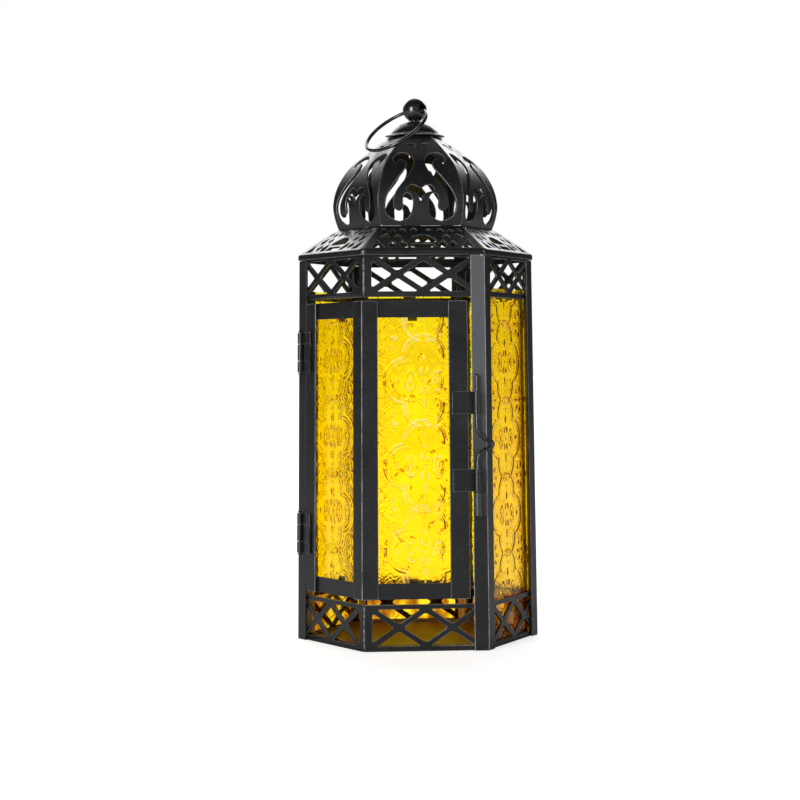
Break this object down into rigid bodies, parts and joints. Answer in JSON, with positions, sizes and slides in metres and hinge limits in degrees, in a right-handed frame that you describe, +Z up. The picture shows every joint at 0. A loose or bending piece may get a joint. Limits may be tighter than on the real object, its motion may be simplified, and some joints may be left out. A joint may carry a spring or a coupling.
{
  "type": "hexagonal pierced metal lantern",
  "caption": "Hexagonal black metal lantern with amber pressed-glass panes, a folding hinged door with a wire latch, a pierced onion dome and a carrying ring.",
  "frame": {"origin": "centre of the base's underside", "axes": "+Z up to the finial, -Y out of the front door panel, +X towards the right-hand corner"},
  "size_m": [0.1146, 0.1021, 0.2554],
  "materials": {
    "black_paint": "satin black paint on pressed sheet steel, slightly worn to grey along the edges",
    "post_paint": "satin black paint on folded strip",
    "wire_paint": "glossier black paint on wire and turned pieces",
    "amber_glass": "amber pressed glass with a raised rosette pattern",
    "bare_steel": "zinc plated"
  },
  "bodies": {
    "frame": {"base_plate": "black_paint", "corner_post_back_left": "post_paint", "corner_post_back_right": "post_paint", "corner_post_front_right": "post_paint", "corner_post_left": "post_paint", "corner_post_right": "post_paint", "dome_cap": "black_paint", "dome_crown_plate": "black_paint", "dome_gore_back": "black_paint", "dome_gore_back_left": "black_paint", "dome_gore_back_right": "black_paint", "dome_gore_front": "black_paint", "dome_gore_front_left": "black_paint", "dome_gore_front_right": "black_paint", "finial_ball": "wire_paint", "finial_nut": "bare_steel", "fixed_glass_back": "amber_glass", "fixed_glass_back_left": "amber_glass", "fixed_glass_back_right": "amber_glass", "fixed_glass_front_right": "amber_glass", "hinge_lower_frame_leaf": "black_paint", "hinge_lower_pin": "wire_paint", "hinge_upper_frame_leaf": "black_paint", "hinge_upper_pin": "wire_paint", "latch_keeper": "post_paint", "lower_lattice_back": "black_paint", "lower_lattice_back_left": "black_paint", "lower_lattice_back_right": "black_paint", "lower_lattice_front": "black_paint", "lower_lattice_front_left": "black_paint", "lower_lattice_front_right": "black_paint", "roof_skirt": "black_paint", "upper_lattice_back": "black_paint", "upper_lattice_back_left": "black_paint", "upper_lattice_back_right": "black_paint", "upper_lattice_front": "black_paint", "upper_lattice_front_left": "black_paint", "upper_lattice_front_right": "black_paint"},
    "door": {"door_glass_left": "amber_glass", "door_glass_right": "amber_glass", "door_rail_bottom_left": "black_paint", "door_rail_bottom_right": "black_paint", "door_rail_top_left": "black_paint", "door_rail_top_right": "black_paint", "door_stile_fold": "black_paint", "door_stile_hinge_side": "black_paint", "door_stile_latch_side": "black_paint", "glass_clip_bottom_left": "black_paint", "glass_clip_bottom_right": "black_paint", "glass_clip_top_left": "black_paint", "glass_clip_top_right": "black_paint", "hinge_lower_door_leaf": "black_paint", "hinge_upper_door_leaf": "black_paint", "latch_guide_lower": "black_paint", "latch_guide_upper": "black_paint"},
    "latch_bolt": {"latch_bolt": "wire_paint"},
    "carry_ring": {"carry_ring": "wire_paint"}
  },
  "joints": [
    {"name": "door_swing", "type": "hinge", "parent": "frame", "child": "door", "pos_m": [-0.05555, -0.00419, 0.09], "axis": [-0.0115, -0.0009, -0.9999], "range_deg": [0, 170]},
    {"name": "latch_slide", "type": "slide", "parent": "door", "child": "latch_bolt", "axis": [-0.0049, 0.0105, 0.9999], "range_m": [-0.004, 0.006]},
    {"name": "ring_swing", "type": "hinge", "parent": "frame", "child": "carry_ring", "pos_m": [0, 0, 0.24975], "axis": [-0.6334, 0.7738, 0], "range_deg": [0, 258]}
  ]
}
